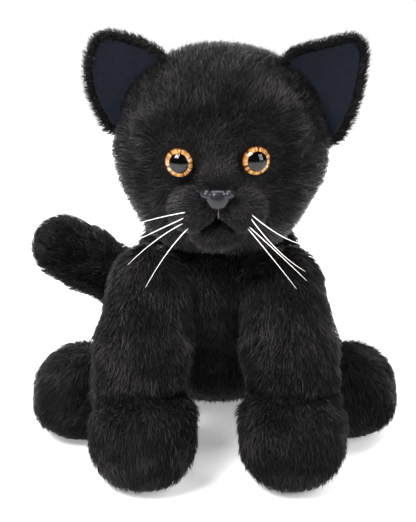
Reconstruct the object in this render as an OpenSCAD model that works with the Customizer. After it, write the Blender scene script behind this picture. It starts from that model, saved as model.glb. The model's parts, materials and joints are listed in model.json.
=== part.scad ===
// Sitting plush cat, stuffed, with sewn limbs, safety eyes, a moulded nose and whiskers.
// Millimetres. +Z is up, the cat looks towards -Y, and its own left side is +X.
// The origin is the middle of the flat seat that it sits on.

/* [Head] */
// Width of the head across the cheeks
head_w = 132; // [126:1:134]
// Depth of the head from the back to the bridge of the nose
head_d = 122; // [114:1:130]
// Height of the head
head_h = 128; // [120:1:134]
// Height of the middle of the head above the floor
head_z = 197; // [196:0.5:200]
// How far the muzzle stands out from the face
muzzle_out = 15; // [8:1:20]

/* [Ears] */
// Length of an ear from its root to its tip
ear_len = 45; // [40:1:52]
// Width of an ear along its root
ear_w = 60; // [54:1:64]

/* [Eyes and nose] */
// Diameter of a safety eye
eye_d = 18; // [14:0.5:20]
// Distance between the middles of the eyes
eye_gap = 44.5; // [42:0.5:48]
// Width of the moulded nose
nose_w = 20; // [16:0.5:22]

/* [Body] */
// Width of the torso at its widest
torso_w = 100; // [92:1:106]
// Height of the torso up to the neck
torso_h = 140; // [136:1:142]
// Thickness of the fur fabric, backing and pile together
skin_t = 5; // [3.5:0.5:6]

/* [Legs and tail] */
// Distance from the middle plane to the middle of a front paw
paw_x = 46; // [45:0.5:50]
// Width of a front paw
paw_w = 63; // [58:1:64]
// Height of the shoulder seam's middle above the floor
shoulder_z = 116; // [114:1:118]
// Thickness of the tail at its round end
tail_d = 46; // [38:1:47]

/* [Hidden] */

far = 400;           // a size that reaches past the whole cat
gap = 0.4;           // room between pieces that move on each other
lay = 0.15;          // room between a skin and the filling inside it

fur_black = [0.07, 0.07, 0.075];
velour_black = [0.05, 0.05, 0.08];
fibre_white = [0.9, 0.9, 0.88];

// ---- Cloth forms ----------------------------------------------------------------------------

// A point moved by depth towards the nearest point of the line from spine[0] to spine[1]
function clamp01(t) = min(1, max(0, t));
function on_spine(p, spine) = let(a = spine[0], d = spine[1] - spine[0], n = d * d)
    n == 0 ? a : a + d * clamp01((p - a) * d / n);
function sunk(p, spine, depth) = let(to = on_spine(p, spine) - p) p + to * (depth / norm(to));

// A grid of points: one row for each v, one column for each u
function grid(form, us, vs, spine, depth) =
    [for (v = vs) [for (u = us) sunk(form(u, v), spine, depth)]];
function steps(from, to, count) = [for (i = [0 : count]) from + (to - from) * i / count];
function round_steps(count) = [for (i = [0 : count - 1]) i * 360 / count];
function rings(from, to) = [for (i = [from : to]) i];
function flat(rows) = [for (row = rows) each row];

// Faces between the rows of one grid whose first point is number base
function skin_faces(rows, cols, base, wrap, flip) = [
    for (r = [0 : rows - 2], c = [0 : cols - (wrap ? 1 : 2)])
        let(n = (c + 1) % cols, a = base + r * cols + c, b = base + r * cols + n,
            d = base + (r + 1) * cols + c, e = base + (r + 1) * cols + n)
        each flip ? [[a, d, b], [b, d, e]] : [[a, b, d], [b, e, d]]];
// Faces that join two grids along a row, and along a column
function row_wall(row, cols, other, wrap, flip) = [
    for (c = [0 : cols - (wrap ? 1 : 2)])
        let(n = (c + 1) % cols, a = row * cols + c, b = row * cols + n)
        each flip ? [[a, b, other + a], [b, other + b, other + a]]
                  : [[a, other + a, b], [b, other + a, other + b]]];
function col_wall(col, rows, cols, other, flip) = [
    for (r = [0 : rows - 2])
        let(a = r * cols + col, b = (r + 1) * cols + col)
        each flip ? [[a, b, other + a], [b, other + b, other + a]]
                  : [[a, other + a, b], [b, other + a, other + b]]];
function fan(row, cols, base, flip) = [
    for (c = [1 : cols - 2])
        let(a = base + row * cols) flip ? [a, a + c, a + c + 1] : [a, a + c + 1, a + c]];

// A piece of cloth with thickness: the form over part of its u and v, from depth to depth + t.
// caps closes the first row, the last row or both, where the rows are whole rings.
module cloth(form, us, vs, spine, depth, t, wrap = false, cap_first = false, cap_last = false) {
    cols = len(us);
    rows = len(vs);
    other = rows * cols;
    points = concat(flat(grid(form, us, vs, spine, depth)),
                    flat(grid(form, us, vs, spine, depth + t)));
    faces = concat(
        skin_faces(rows, cols, 0, wrap, true), skin_faces(rows, cols, other, wrap, false),
        cap_first ? concat(fan(0, cols, 0, true), fan(0, cols, other, false))
                  : row_wall(0, cols, other, wrap, true),
        cap_last ? concat(fan(rows - 1, cols, 0, false), fan(rows - 1, cols, other, true))
                 : row_wall(rows - 1, cols, other, wrap, false),
        wrap ? [] : concat(col_wall(0, rows, cols, other, false),
                           col_wall(cols - 1, rows, cols, other, true)));
    polyhedron(points = points, faces = faces, convexity = 6);
}
// The closed solid inside a form whose rows are whole rings
module filled(form, us, vs, spine, depth) {
    cols = len(us);
    rows = len(vs);
    polyhedron(
        points = flat(grid(form, us, vs, spine, depth)),
        faces = concat(skin_faces(rows, cols, 0, true, true), fan(0, cols, 0, true),
                       fan(rows - 1, cols, 0, false)),
        convexity = 6);
}
// Mirrors the left side's piece to the right side
module on_side(side) {
    if (side > 0) children();
    else mirror([1, 0, 0]) children();
}

// ---- Head -----------------------------------------------------------------------------------

head_y = -104;                      // the middle of the head, in front of the seat
head_mid = [0, head_y, head_z];
head_step = 12;                     // degrees between the points of the head's grid, which its panels share
front = 270;                        // the angle of -Y
head_us = [for (u = round_steps(360 / head_step)) front - 180 + u];  // once round, from the back
neck_pivot = [0, head_y + 4, torso_h + 12];
head_taper = 0.08;                  // how much narrower the jaw is than the brow
muzzle_z = -16;                     // the middle of the muzzle, from the head's middle
muzzle_spread = 30;                 // degrees to each side of straight ahead

// How far a bulge of this middle and spread has fallen off
function bell(x, middle, spread) = exp(-pow((x - middle) / spread, 2));
// How wide the head is at a latitude, as a share of its full width
function head_full(v) = pow(abs(cos(v)), 0.95);
// u is the angle round the head, v the latitude from -90 at the neck to 90 at the crown
function head_point(u, v) =
    let(full = head_full(v) * (1 - head_taper * clamp01(-sin(v))),
        z = head_h / 2 * sin(v),
        out = muzzle_out * bell(u, front, muzzle_spread) * bell(z, muzzle_z, 24))
    head_mid + [(head_w / 2 * full + out) * cos(u), (head_d / 2 * full + out) * sin(u), z];
head_form = function(u, v) head_point(u, v);
head_spine = [head_mid, head_mid];
head_low = -72;                     // the latitude of the neck opening
crown_low = 48;                     // the latitude where the crown panel begins
crown_high = 84;
chin_top = -36;                     // the latitude of the mouth
face_half = 36;                     // half the angle that the muzzle and chin panels take
cheek_back = 156;                   // where the cheeks meet the back panel, from straight ahead

function head_steps(from, to) = steps(from, to, (to - from) / head_step);
module head_panel(from, to, low, high)
    color(fur_black)
        cloth(head_form, head_steps(from, to), head_steps(low, high), head_spine, 0, skin_t);
module head_crown()
    color(fur_black)
        cloth(head_form, head_us, head_steps(crown_low, crown_high), head_spine, 0, skin_t,
              wrap = true, cap_last = true);
module head_back() head_panel(front + cheek_back - 360, front - cheek_back, head_low, crown_low);
module cheek(side)
    head_panel(side > 0 ? front + face_half : front - cheek_back,
               side > 0 ? front + cheek_back : front - face_half, head_low, crown_low);
module muzzle()
    difference() {
        head_panel(front - face_half, front + face_half, chin_top, crown_low);
        at_nose() cylinder(h = 60, r = nose_shank_r + gap, center = true, $fn = 48);
        for (side = [-1, 1]) eye_room(side);
    }
module chin() head_panel(front - face_half, front + face_half, head_low, chin_top);
module head_stuffing()
    color(fibre_white)
        difference() {
            filled(head_form, head_us, head_steps(head_low, crown_high), head_spine, skin_t + lay);
            for (side = [-1, 1]) at_eye(side) shank_room(shank_r, shank_len, washer_r);
            at_nose() shank_room(nose_shank_r, nose_shank_len, nose_washer_r);
            neck_socket();
        }

// ---- Eyes -----------------------------------------------------------------------------------

shank_r = 2.4;
shank_len = 16;
washer_r = 8;
washer_t = 1.4;
dome_h = 5.2;
iris_t = 1.4;
eye_z = 8.5;                         // the middle of the eyes, from the head's middle
eye_turn = 21;                      // degrees that an eye looks outwards
eye_proud = 0.6;                    // how far the back of the eye stands off the fur

// Where the face is, straight ahead of a point at this x and height from the head's middle
function face_y(x, z) =
    let(v = asin(z / (head_h / 2)),
        u = front + asin(clamp01(abs(x) / (head_w / 2 * head_full(v)))) * sign(x))
    head_point(u, v)[1];
// Puts the children on an eye's seat: +Z looks out of the face
module at_eye(side)
    translate([side * eye_gap / 2, face_y(side * eye_gap / 2, eye_z), head_z + eye_z])
        rotate([90, 0, side * eye_turn]) translate([0, 0, eye_proud]) children();
// The hole for an eye's shank, and the seat that its disc presses into the fur
module eye_room(side)
    at_eye(side) {
        cylinder(h = 60, r = shank_r + gap, center = true, $fn = 48);
        translate([0, 0, -gap]) cylinder(h = 30, r = eye_d / 2 + gap, $fn = 96);
    }
// The space that a shank and its washer need behind the skin
module shank_room(stem_r, stem_len, ring_r)
    translate([0, 0, -stem_len - 2]) {
        cylinder(h = stem_len + 30, r = stem_r + gap, $fn = 48);
        cylinder(h = washer_t + 6, r = ring_r + gap, $fn = 64);
    }
module eye_dome(side)
    color([0.9, 0.9, 0.9, 0.4])
        at_eye(side)
            intersection() {
                cap_r = (eye_d * eye_d / 4 + dome_h * dome_h) / (2 * dome_h);
                translate([0, 0, iris_t + dome_h - cap_r]) sphere(r = cap_r, $fn = 96);
                translate([0, 0, iris_t]) cylinder(h = dome_h + 1, r = eye_d / 2, $fn = 96);
            }
module eye_iris(side)
    color([0.8, 0.5, 0.16])
        at_eye(side)
            rotate_extrude($fn = 96)
                polygon([[0, -shank_len], [shank_r - 0.6, -shank_len], [shank_r, -shank_len + 1],
                         [shank_r, 0], [eye_d / 2 - 0.6, 0], [eye_d / 2, 0.6], [eye_d / 2, iris_t],
                         [0, iris_t]]);
module push_washer(stem_r, stem_len, ring_r)
    color([0.85, 0.85, 0.82])
        translate([0, 0, -stem_len + 1.5])
            difference() {
                cylinder(h = washer_t, r = ring_r, $fn = 64);
                translate([0, 0, -1]) cylinder(h = washer_t + 2, r = stem_r + 0.03, $fn = 48);
            }
module eye_washer(side) at_eye(side) push_washer(shank_r, shank_len, washer_r);

// ---- Nose, mouth and whiskers ---------------------------------------------------------------

nose_shank_r = 2;
nose_shank_len = 18;
nose_washer_r = 6.5;
nose_z = -10.5;                      // the middle of the nose, from the head's middle
nose_h = nose_w * 0.6;
nose_deep = 7;

module at_nose()
    translate([0, face_y(0, nose_z) - 1, head_z + nose_z]) rotate([90, 0, 0]) children();
module nose()
    color([0.08, 0.08, 0.09])
        at_nose() {
            lobe = nose_h * 0.27;
            difference() {
                hull() {
                    for (side = [-1, 1])
                        translate([side * (nose_w / 2 - lobe), nose_h / 2 - lobe, lobe])
                            sphere(r = lobe, $fn = 28);
                    translate([0, -nose_h / 2 + lobe, lobe]) sphere(r = lobe, $fn = 28);
                    translate([0, 0, nose_deep - lobe]) sphere(r = lobe, $fn = 28);
                }
                for (side = [-1, 1])
                    translate([side * nose_w * 0.2, -nose_h * 0.18, lobe + 1])
                        rotate([0, side * 40, 0]) cylinder(h = 8, r = 1.1, $fn = 24);
            }
            translate([0, 0, -nose_shank_len])
                cylinder(h = nose_shank_len + 1.5, r = nose_shank_r, $fn = 48);
        }
module nose_washer() at_nose() push_washer(nose_shank_r, nose_shank_len, nose_washer_r);
module mouth_stitch()
    color([0.45, 0.33, 0.35])
        at_nose() translate([0, -nose_h / 2 - 5, 0.2])
            rotate([-12, 0, 0]) {
                cube([1.3, 8, 1.8], center = true);
            }

whisker_r = 0.45;
whisker_sides = 6;
whisker_rings = 9;
// Where each whisker leaves the muzzle, then its bend and its tip, from the front of the head
whisker_left = [
    [[15, -12, -17], [37, -22, -34], [57, -7, -40]],
    [[16, -12, -19], [32, -22, -39], [50, -11, -53]],
    [[14, -10, -25], [36, -20, -41], [51, -10, -59]],
    [[15, -10, -27], [31, -20, -42], [45, -12, -63]]];
whisker_right = [
    [[14, -12, -19], [33, -22, -17], [52, -7, -28]],
    [[15, -12, -21], [32, -20, -25], [54, -9, -39]],
    [[16, -10, -25], [33, -20, -28], [51, -11, -49]],
    [[15, -10, -28], [29, -20, -37], [41, -13, -62]]];
function bezier(p, t) = p[0] * pow(1 - t, 2) + p[1] * (2 * t * (1 - t)) + p[2] * pow(t, 2);
function bezier_way(p, t) = let(d = (p[1] - p[0]) * (1 - t) + (p[2] - p[1]) * t) d / norm(d);
function across(way) = let(a = cross(way, [0, 1, 0])) a / norm(a);
module whisker(p) {
    hoops = [for (i = [0 : whisker_rings - 1])
        let(t = i / (whisker_rings - 1), way = bezier_way(p, t), a = across(way), b = cross(way, a),
            r = whisker_r * (1 - 0.45 * t))
        [for (k = [0 : whisker_sides - 1])
            let(turn = k * 360 / whisker_sides) bezier(p, t) + (a * cos(turn) + b * sin(turn)) * r]];
    polyhedron(
        points = flat(hoops),
        faces = concat(skin_faces(whisker_rings, whisker_sides, 0, true, true),
                       fan(0, whisker_sides, 0, true),
                       fan(whisker_rings - 1, whisker_sides, 0, false)));
}
module whiskers(side)
    color([0.95, 0.94, 0.92])
        on_side(side)
            for (p = side > 0 ? whisker_left : whisker_right)
                translate([0, head_y - head_d / 2, head_z]) whisker(p);

// ---- Ears -----------------------------------------------------------------------------------

ear_t = 3.4;                        // thickness of the fur side
lining_t = 1.8;                     // thickness of the velour side
lining_gap = 0.5;                   // room between the two sides of an ear
ear_place = [51, -2, 31];           // the middle of the left ear's root, from the head's middle
ear_tilt = 54;                      // degrees that the ear's length leans outwards
ear_open = 16;                      // degrees that the ear's opening turns outwards
ear_cup = 14;                       // depth of the ear's cup
ear_lean = 14;                      // how far the tip lies towards the crown
ear_sunk = 10;                      // how far the ear reaches below the head's fur before it is trimmed

// The ear lies in its own frame: X along the root, Z to the tip, and its cup opens towards -Y
function ear_half(t) = ear_w / 2 * pow(1 - pow(t, 3), 0.5);
function ear_point(u, t) =
    let(x = ear_half(t) * u, lean = ear_lean * t)
    [x - lean, -ear_cup * pow(abs(x) / (ear_w / 2), 2) + ear_cup * 0.5 * t * t, (ear_len + ear_sunk) * t];
ear_us = steps(-1, 1, 10);
ear_vs = [0, 0.12, 0.26, 0.4, 0.54, 0.68, 0.8, 0.9, 0.97];
function lower(points, d) = [for (p = points) p - [0, d, 0]];
module ear_sheet(from, t, edge) {
    cols = len(ear_us);
    rows = len(ear_vs);
    other = rows * cols;
    back = [for (v = ear_vs, u = ear_us) ear_point(u * edge, v * edge) - [0, from, 0]];
    polyhedron(
        points = concat(back, lower(back, t)),
        faces = concat(skin_faces(rows, cols, 0, false, false), skin_faces(rows, cols, other, false, true),
                       row_wall(0, cols, other, false, false), row_wall(rows - 1, cols, other, false, true),
                       col_wall(0, rows, cols, other, true), col_wall(cols - 1, rows, cols, other, false)),
        convexity = 6);
}
module at_ear(side)
    on_side(side) translate(head_mid + ear_place) rotate([0, ear_tilt, 0]) rotate([0, 0, ear_open]) children();
module head_room()
    translate(head_mid) scale([head_w / 2 + 1.2, head_d / 2 + 1.2, head_h / 2 + 1.2]) sphere(r = 1, $fn = 40);
module ear_back(side)
    color(fur_black)
        difference() {
            at_ear(side) translate([0, 0, -ear_sunk]) ear_sheet(0, ear_t, 1);
            head_room();
        }
module ear_lining(side)
    color(velour_black)
        difference() {
            at_ear(side) translate([0, 0, -ear_sunk]) ear_sheet(ear_t + lining_gap, lining_t, 0.93);
            head_room();
        }

// ---- Neck -----------------------------------------------------------------------------------

neck_ball_r = 15;
neck_stub_r = 9.5;
neck_low = torso_h - 22;
sweep_r = max(head_w, head_h) / 2 + 4;
// The room that the head sweeps through above the shoulders as it nods and turns
module head_sweep() translate(head_mid) sphere(r = sweep_r, $fn = 96);
module neck_socket() {
    translate(neck_pivot) sphere(r = neck_ball_r + gap, $fn = 64);
    translate(neck_pivot - [0, 0, 30]) cylinder(h = 30, r1 = neck_stub_r + 12, r2 = neck_stub_r + 4, $fn = 64);
}
module neck_stuffing()
    color(fibre_white)
        translate(neck_pivot)
            rotate_extrude($fn = 96)
                intersection() {
                    union() {
                        circle(r = neck_ball_r, $fn = 96);
                        translate([0, neck_low - neck_pivot[2]])
                            square([neck_stub_r, neck_pivot[2] - neck_low]);
                    }
                    translate([0, -far]) square([far, 2 * far]);
                }

// ---- Torso ----------------------------------------------------------------------------------

torso_us = round_steps(24);
// Height, then how far the middle lies behind the seat, half the width and half the depth
torso_rings = [
    [0, 0, 34, 24], [5, -4, 42, 34], [14, -14, 47, 46], [30, -20, 50, 52], [50, -28, 50, 54],
    [72, -42, 48, 52], [94, -60, 46, 47], [114, -74, 45, 42], [130, -82, 43, 38], [140, -88, 34, 30]];
function torso_point(u, i) =
    let(r = torso_rings[i], wide = torso_w / 100)
    [r[2] * wide * cos(u), r[1] + r[3] * sin(u), r[0] * torso_h / 140];
torso_form = function(u, i) torso_point(u, i);
torso_spine = [[0, -20, 46], [0, -86, 104]];
torso_top = len(torso_rings) - 1;
seat_top = 2;                       // the ring where the seat panel ends
module torso_panel(from, to)
    color(fur_black)
        difference() {
            cloth(torso_form, steps(from, to, 12), rings(seat_top, torso_top), torso_spine, 0, skin_t);
            torso_cuts();
        }
module torso_back() torso_panel(0, 180);
module torso_belly() torso_panel(180, 360);
module seat_panel()
    color(fur_black)
        difference() {
            cloth(torso_form, torso_us, rings(0, seat_top), torso_spine, 0, skin_t,
                  wrap = true, cap_first = true);
            torso_cuts();
        }
module torso_stuffing()
    color(fibre_white)
        difference() {
            filled(torso_form, torso_us, rings(0, torso_top), torso_spine, skin_t + lay);
            torso_cuts();
            pouch_shape(lay);
            translate([0, neck_pivot[1], neck_low - lay])
                cylinder(h = far, r = neck_stub_r + gap, $fn = 96);
        }
// What the legs, hips and tail take out of the torso
module torso_cuts() {
    for (side = [-1, 1]) on_side(side) {
        shoulder_cut();
        hip_cut();
    }
    tail_cut();
    head_sweep();
}
pouch_r = 16;
pouch_y = -3;
pouch_z = 24;
module pouch_shape(grow)
    translate([0, pouch_y, pouch_z])
        rotate_extrude($fn = 96)
            polygon([[0, -12 - grow], [pouch_r - 6, -12 - grow], [pouch_r + grow, -6],
                     [pouch_r + grow, 6], [pouch_r - 6, 12 + grow], [0, 12 + grow]]);
module bean_pouch() color([0.8, 0.78, 0.7]) pouch_shape(0);
stitch_pitch = 6;
function back_y(z) = lookup(z, [for (r = torso_rings) [r[0], r[1] + r[3]]]);
module closing_seam_thread()
    color([0.1, 0.1, 0.1])
        for (z = [66 : stitch_pitch : 108])
            translate([0, back_y(z) + 0.7, z])
                rotate([0, 90, 0]) cylinder(h = 5, r = 0.5, center = true, $fn = 24);

// ---- Front legs -----------------------------------------------------------------------------

shoulder_x = 14;                    // the plane of the shoulder seam
shoulder_y = -120;
shoulder_r = 30;                    // the round top of a leg turns inside this radius
leg_us = round_steps(20);
wrist = 5;                          // the ring where the paw is sewn to the sleeve
// Height, middle x, middle y, half the width and half the depth
leg_rings = [
    [0, 0, -148, 20, 20], [6, 0, -148, 28, 30], [18, 0, -147, 31.5, 35.5], [34, 0, -146, 31.5, 35.5],
    [48, 0, -142, 30.5, 32], [58, -1, -138, 29.5, 29.5], [78, -3, -131, 29.5, 29.5], [98, -6, -125, 29, 29.5],
    [116, -9, -121, 27.5, 29], [130, -12, -120, 24, 25], [140, -14, -120, 16, 17]];
function leg_point(u, i) =
    let(r = leg_rings[i], wide = paw_w / 63)
    [paw_x + r[1] + r[3] * wide * cos(u), r[2] + r[4] * sin(u), r[0] * shoulder_z / 116];
leg_form = function(u, i) leg_point(u, i);
leg_spine = [[paw_x, -148, 34], [paw_x - 9, shoulder_y, shoulder_z - 2]];
leg_top = len(leg_rings) - 1;
module inner_side() translate([shoulder_x - far, -far / 2, -far / 2]) cube(far);
module front_leg_sleeve(side)
    color(fur_black)
        on_side(side)
            difference() {
                cloth(leg_form, leg_us, rings(wrist, leg_top), leg_spine, 0, skin_t,
                      wrap = true, cap_last = true);
                inner_side();
                head_over_leg();
            }
module front_paw(side)
    color(fur_black)
        on_side(side)
            difference() {
                cloth(leg_form, leg_us, rings(0, wrist), leg_spine, 0, skin_t, wrap = true, cap_first = true);
                inner_side();
            }
module front_leg_stuffing(side)
    color(fibre_white)
        on_side(side)
            difference() {
                filled(leg_form, leg_us, rings(0, leg_top), leg_spine, skin_t + lay);
                translate([lay, 0, 0]) inner_side();
                head_over_leg();
            }
// The room that the head takes above a leg, all the way as the leg swings forward
leg_swing = 45;
nod_angle = 6;                      // how far the head's nod moves it, as an angle about the shoulder
module head_over_leg() {
    reach = head_mid - [0, shoulder_y, shoulder_z];
    translate([0, shoulder_y, shoulder_z])
        rotate([90, 0, 90])
            rotate([0, 0, atan2(reach[2], reach[1]) - nod_angle])
                rotate_extrude(angle = leg_swing + 2 * nod_angle, $fn = 96)
                    translate([norm(reach), 0]) circle(r = sweep_r - 3, $fn = 96);
    head_sweep();
    translate([0, shoulder_y, shoulder_z])
        rotate([leg_swing + nod_angle, 0, 0])
            translate(reach) sphere(r = sweep_r, $fn = 96);
}
// The leg's side outline with room round it, as a prism outside the shoulder plane
module shoulder_cut()
    translate([shoulder_x - gap, 0, 0]) {
        translate([0, shoulder_y, shoulder_z])
            rotate([0, 90, 0]) cylinder(h = far, r = shoulder_r + 1, $fn = 96);
        rotate([90, 0, 90])
            linear_extrude(height = far)
                polygon([[shoulder_y + shoulder_r + 1, shoulder_z], [shoulder_y + shoulder_r - 2, 92],
                         [-100, 74], [-106, 58], [-109, 44], [-111, 30], [-111, -5], [-far, -5],
                         [-far, shoulder_z]]);
    }

// ---- Hind legs ------------------------------------------------------------------------------

hip = [45, -28];                     // the upright axis that a hind leg swings about
hip_r = 31;
hind_turn = -47;                    // the way that the foot points, from +X
hind_us = round_steps(22);
// Height, how far the middle lies from the hip, half the length and half the width
hind_rings = [
    [0, 36, 44, 20], [5, 35, 54, 26], [15, 34, 62, 31], [30, 33, 64, 33], [44, 33, 61, 31],
    [55, 33, 50, 24], [60, 33, 36, 14]];
function hind_point(u, i) =
    let(r = hind_rings[i], bulge = 1 + 0.12 * cos(u),
        p = [r[1] + r[2] * cos(u), r[3] * bulge * sin(u)])
    [hip[0] + p[0] * cos(hind_turn) - p[1] * sin(hind_turn),
     hip[1] + p[0] * sin(hind_turn) + p[1] * cos(hind_turn), r[0]];
hind_form = function(u, i) hind_point(u, i);
hind_top = len(hind_rings) - 1;
hind_spine = [[hip[0], hip[1], 30], [hip[0] + 66 * cos(hind_turn), hip[1] + 66 * sin(hind_turn), 30]];
ankle = 48;                         // where the foot is sewn to the thigh, from the hip
module past_ankle() translate([hip[0], hip[1], 0]) rotate([0, 0, hind_turn])
    translate([ankle, -far / 2, -far / 2]) cube(far);
module hind_solid(depth) filled(hind_form, hind_us, rings(0, hind_top), hind_spine, depth);
module hind_shell()
    difference() {
        hind_solid(0);
        hind_solid(skin_t);
    }
module hind_thigh(side)
    color(fur_black) on_side(side) difference() { hind_shell(); past_ankle(); }
module hind_foot(side)
    color(fur_black) on_side(side) intersection() { hind_shell(); past_ankle(); }
module hind_leg_stuffing(side)
    color(fibre_white)
        on_side(side) hind_solid(skin_t + lay);
// The room that a hind leg needs in the torso's side, as a prism: round at the hip and open outwards
hip_room = hip_r + 2;
hip_room_h = 72;
module hip_cut()
    translate([hip[0], hip[1], -5])
        rotate([0, 0, hind_turn - 12])
            linear_extrude(height = hip_room_h)
                polygon(concat([for (a = [90 : 15 : 270]) [hip_room * cos(a), hip_room * sin(a)]],
                               [[far, -hip_room], [far, hip_room]]));

// ---- Tail -----------------------------------------------------------------------------------

tail_pivot = [0, 26, 44];
tail_root_r = 15;
tail_us = round_steps(16);
// The tail's middle line from its root to its round end, with its radius
tail_line = [
    [0, 26, 44, 12], [-10, 38, 44, 13], [-27, 48, 48, 15], [-50, 51, 57, 17.5], [-72, 48, 70, 19.5],
    [-90, 42, 83, 21.5], [-102, 39, 92, 22], [-111, 36, 99, 18], [-116, 34.5, 103, 11]];
tail_last = len(tail_line) - 1;
function head3(p) = [p[0], p[1], p[2]];
function tail_mid(i) = head3(tail_line[i]);
function tail_way(i) = let(d = tail_mid(min(i + 1, tail_last)) - tail_mid(max(i - 1, 0))) d / norm(d);
function tail_point(u, i) =
    let(way = tail_way(i), side = cross(way, [0, 0, 1]), a = side / norm(side), b = cross(a, way),
        r = tail_line[i][3] * tail_d / 44)
    tail_mid(i) + (a * cos(u) + b * sin(u)) * r;
module tail_solid(depth) {
    hoops = [for (i = [0 : tail_last]) [for (u = tail_us)
        let(p = tail_point(u, i), m = tail_mid(i)) m + (p - m) * (1 - depth / norm(p - m))]];
    count = len(tail_us);
    ends = [tail_mid(0) - tail_way(0) * (10 - depth), tail_mid(tail_last) + tail_way(tail_last) * (4 - depth)];
    last = (tail_last + 1) * count;
    polyhedron(
        points = concat(flat(hoops), ends),
        faces = concat(skin_faces(tail_last + 1, count, 0, true, false),
            [for (c = [0 : count - 1]) [last, (c + 1) % count, c]],
            [for (c = [0 : count - 1]) [last + 1, tail_last * count + c, tail_last * count + (c + 1) % count]]),
        convexity = 6);
}
module tail_skin()
    color(fur_black)
        difference() {
            tail_solid(0);
            tail_solid(skin_t);
            translate(tail_pivot) rotate([90, 0, 0]) cylinder(h = 60, r = tail_root_r - skin_t - 1, $fn = 48);
        }
module tail_stuffing() color(fibre_white) tail_solid(skin_t + lay);
module tail_cut()
    translate(tail_pivot) rotate([90, 0, 0]) sphere(r = tail_root_r + 3.4, $fn = 64);

// ---- What is drawn --------------------------------------------------------------------------

head_crown();
head_back();
cheek(1);  // cheek_left
cheek(-1);  // cheek_right
muzzle();
chin();
head_stuffing();
eye_dome(1);  // eye_dome_left
eye_dome(-1);  // eye_dome_right
eye_iris(1);  // eye_iris_left
eye_iris(-1);  // eye_iris_right
eye_washer(1);  // eye_washer_left
eye_washer(-1);  // eye_washer_right
nose();
nose_washer();
mouth_stitch();
whiskers(1);  // whiskers_left
whiskers(-1);  // whiskers_right
ear_back(1);  // ear_back_left
ear_back(-1);  // ear_back_right
ear_lining(1);  // ear_lining_left
ear_lining(-1);  // ear_lining_right
neck_stuffing();
torso_back();
torso_belly();
seat_panel();
torso_stuffing();
bean_pouch();
closing_seam_thread();
front_leg_sleeve(1);  // front_leg_sleeve_left
front_leg_sleeve(-1);  // front_leg_sleeve_right
front_paw(1);  // front_paw_left
front_paw(-1);  // front_paw_right
front_leg_stuffing(1);  // front_leg_stuffing_left
front_leg_stuffing(-1);  // front_leg_stuffing_right
hind_thigh(1);  // hind_thigh_left
hind_thigh(-1);  // hind_thigh_right
hind_foot(1);  // hind_foot_left
hind_foot(-1);  // hind_foot_right
hind_leg_stuffing(1);  // hind_leg_stuffing_left
hind_leg_stuffing(-1);  // hind_leg_stuffing_right
tail_skin();
tail_stuffing();
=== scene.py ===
"""A sitting black plush cat: stuffed skins with a combed pile of fur, amber safety eyes, moulded nose, bristles.

Shapes are worked out in millimetres, in the CAD's frame, from the boxes of the CAD nodes, and meshes are in metres.
Every stuffed part is a smooth closed skin, meshed from a signed distance, and its fur is real geometry: tapered
strands that grow from the skin, one piece for each sewn panel.
"""
import json
import math

import bpy
import numpy as np
import openvdb
from mathutils import Matrix, Vector, kdtree


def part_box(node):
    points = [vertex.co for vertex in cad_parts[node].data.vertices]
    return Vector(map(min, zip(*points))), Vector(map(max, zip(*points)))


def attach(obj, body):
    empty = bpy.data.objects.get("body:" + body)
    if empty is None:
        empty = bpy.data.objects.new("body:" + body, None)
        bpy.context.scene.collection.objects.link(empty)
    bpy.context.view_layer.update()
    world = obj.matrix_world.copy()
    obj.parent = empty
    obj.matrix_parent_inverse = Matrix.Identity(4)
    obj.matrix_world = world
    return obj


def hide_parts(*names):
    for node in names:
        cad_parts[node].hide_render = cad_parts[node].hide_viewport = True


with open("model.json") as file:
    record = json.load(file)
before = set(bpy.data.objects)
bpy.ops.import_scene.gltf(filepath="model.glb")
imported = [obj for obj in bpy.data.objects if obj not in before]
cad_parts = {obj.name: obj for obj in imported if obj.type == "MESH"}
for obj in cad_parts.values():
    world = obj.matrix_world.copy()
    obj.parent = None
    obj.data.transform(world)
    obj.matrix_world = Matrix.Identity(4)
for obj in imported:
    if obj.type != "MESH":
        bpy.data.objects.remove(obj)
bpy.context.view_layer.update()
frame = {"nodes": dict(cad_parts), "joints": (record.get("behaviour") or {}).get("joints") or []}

MM = 0.001
SIDES = {"left": 1.0, "right": -1.0}
rng = np.random.default_rng(7)


# ---- Camera and stage ------------------------------------------------------------------------

AIM = Vector((-0.0063, -0.074, 0.117))
CAMERA_RISE = math.radians(18)
CAMERA_AWAY = 1.1
LENS = 120.4
LIGHT_AIM = Vector((0, -0.08, 0.12))
WORLD_LIGHT = 0.12                   # how strongly the world lights the cat
FLOOR_REACH, FLOOR_BACK = 4.0, 0.75  # how far the floor goes forwards and sideways, and how far behind the cat
FLOOR_GLOW = 0.35

# Each softbox's name, place and size in metres, and power in watts
SOFTBOXES = [
    ("key", (-0.55, -0.75, 1.05), (0.55, 0.55), 25),
    ("fill", (0.8, -0.7, 0.6), (0.5, 0.7), 7),
    ("top", (0.0, 0.15, 1.3), (0.7, 0.6), 13),
    ("rim_left", (-0.8, 0.75, 0.55), (0.4, 1.0), 15),
    ("rim_right", (0.8, 0.75, 0.55), (0.4, 1.0), 15)]


def add_camera():
    data = bpy.data.cameras.new("camera")
    data.lens = LENS
    data.sensor_width = 36
    camera = bpy.data.objects.new("camera", data)
    bpy.context.scene.collection.objects.link(camera)
    away = Vector((0, -math.cos(CAMERA_RISE), math.sin(CAMERA_RISE))) * CAMERA_AWAY
    camera.location = AIM + away
    camera.rotation_euler = (math.pi / 2 - CAMERA_RISE, 0, 0)
    bpy.context.scene.camera = camera


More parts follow.
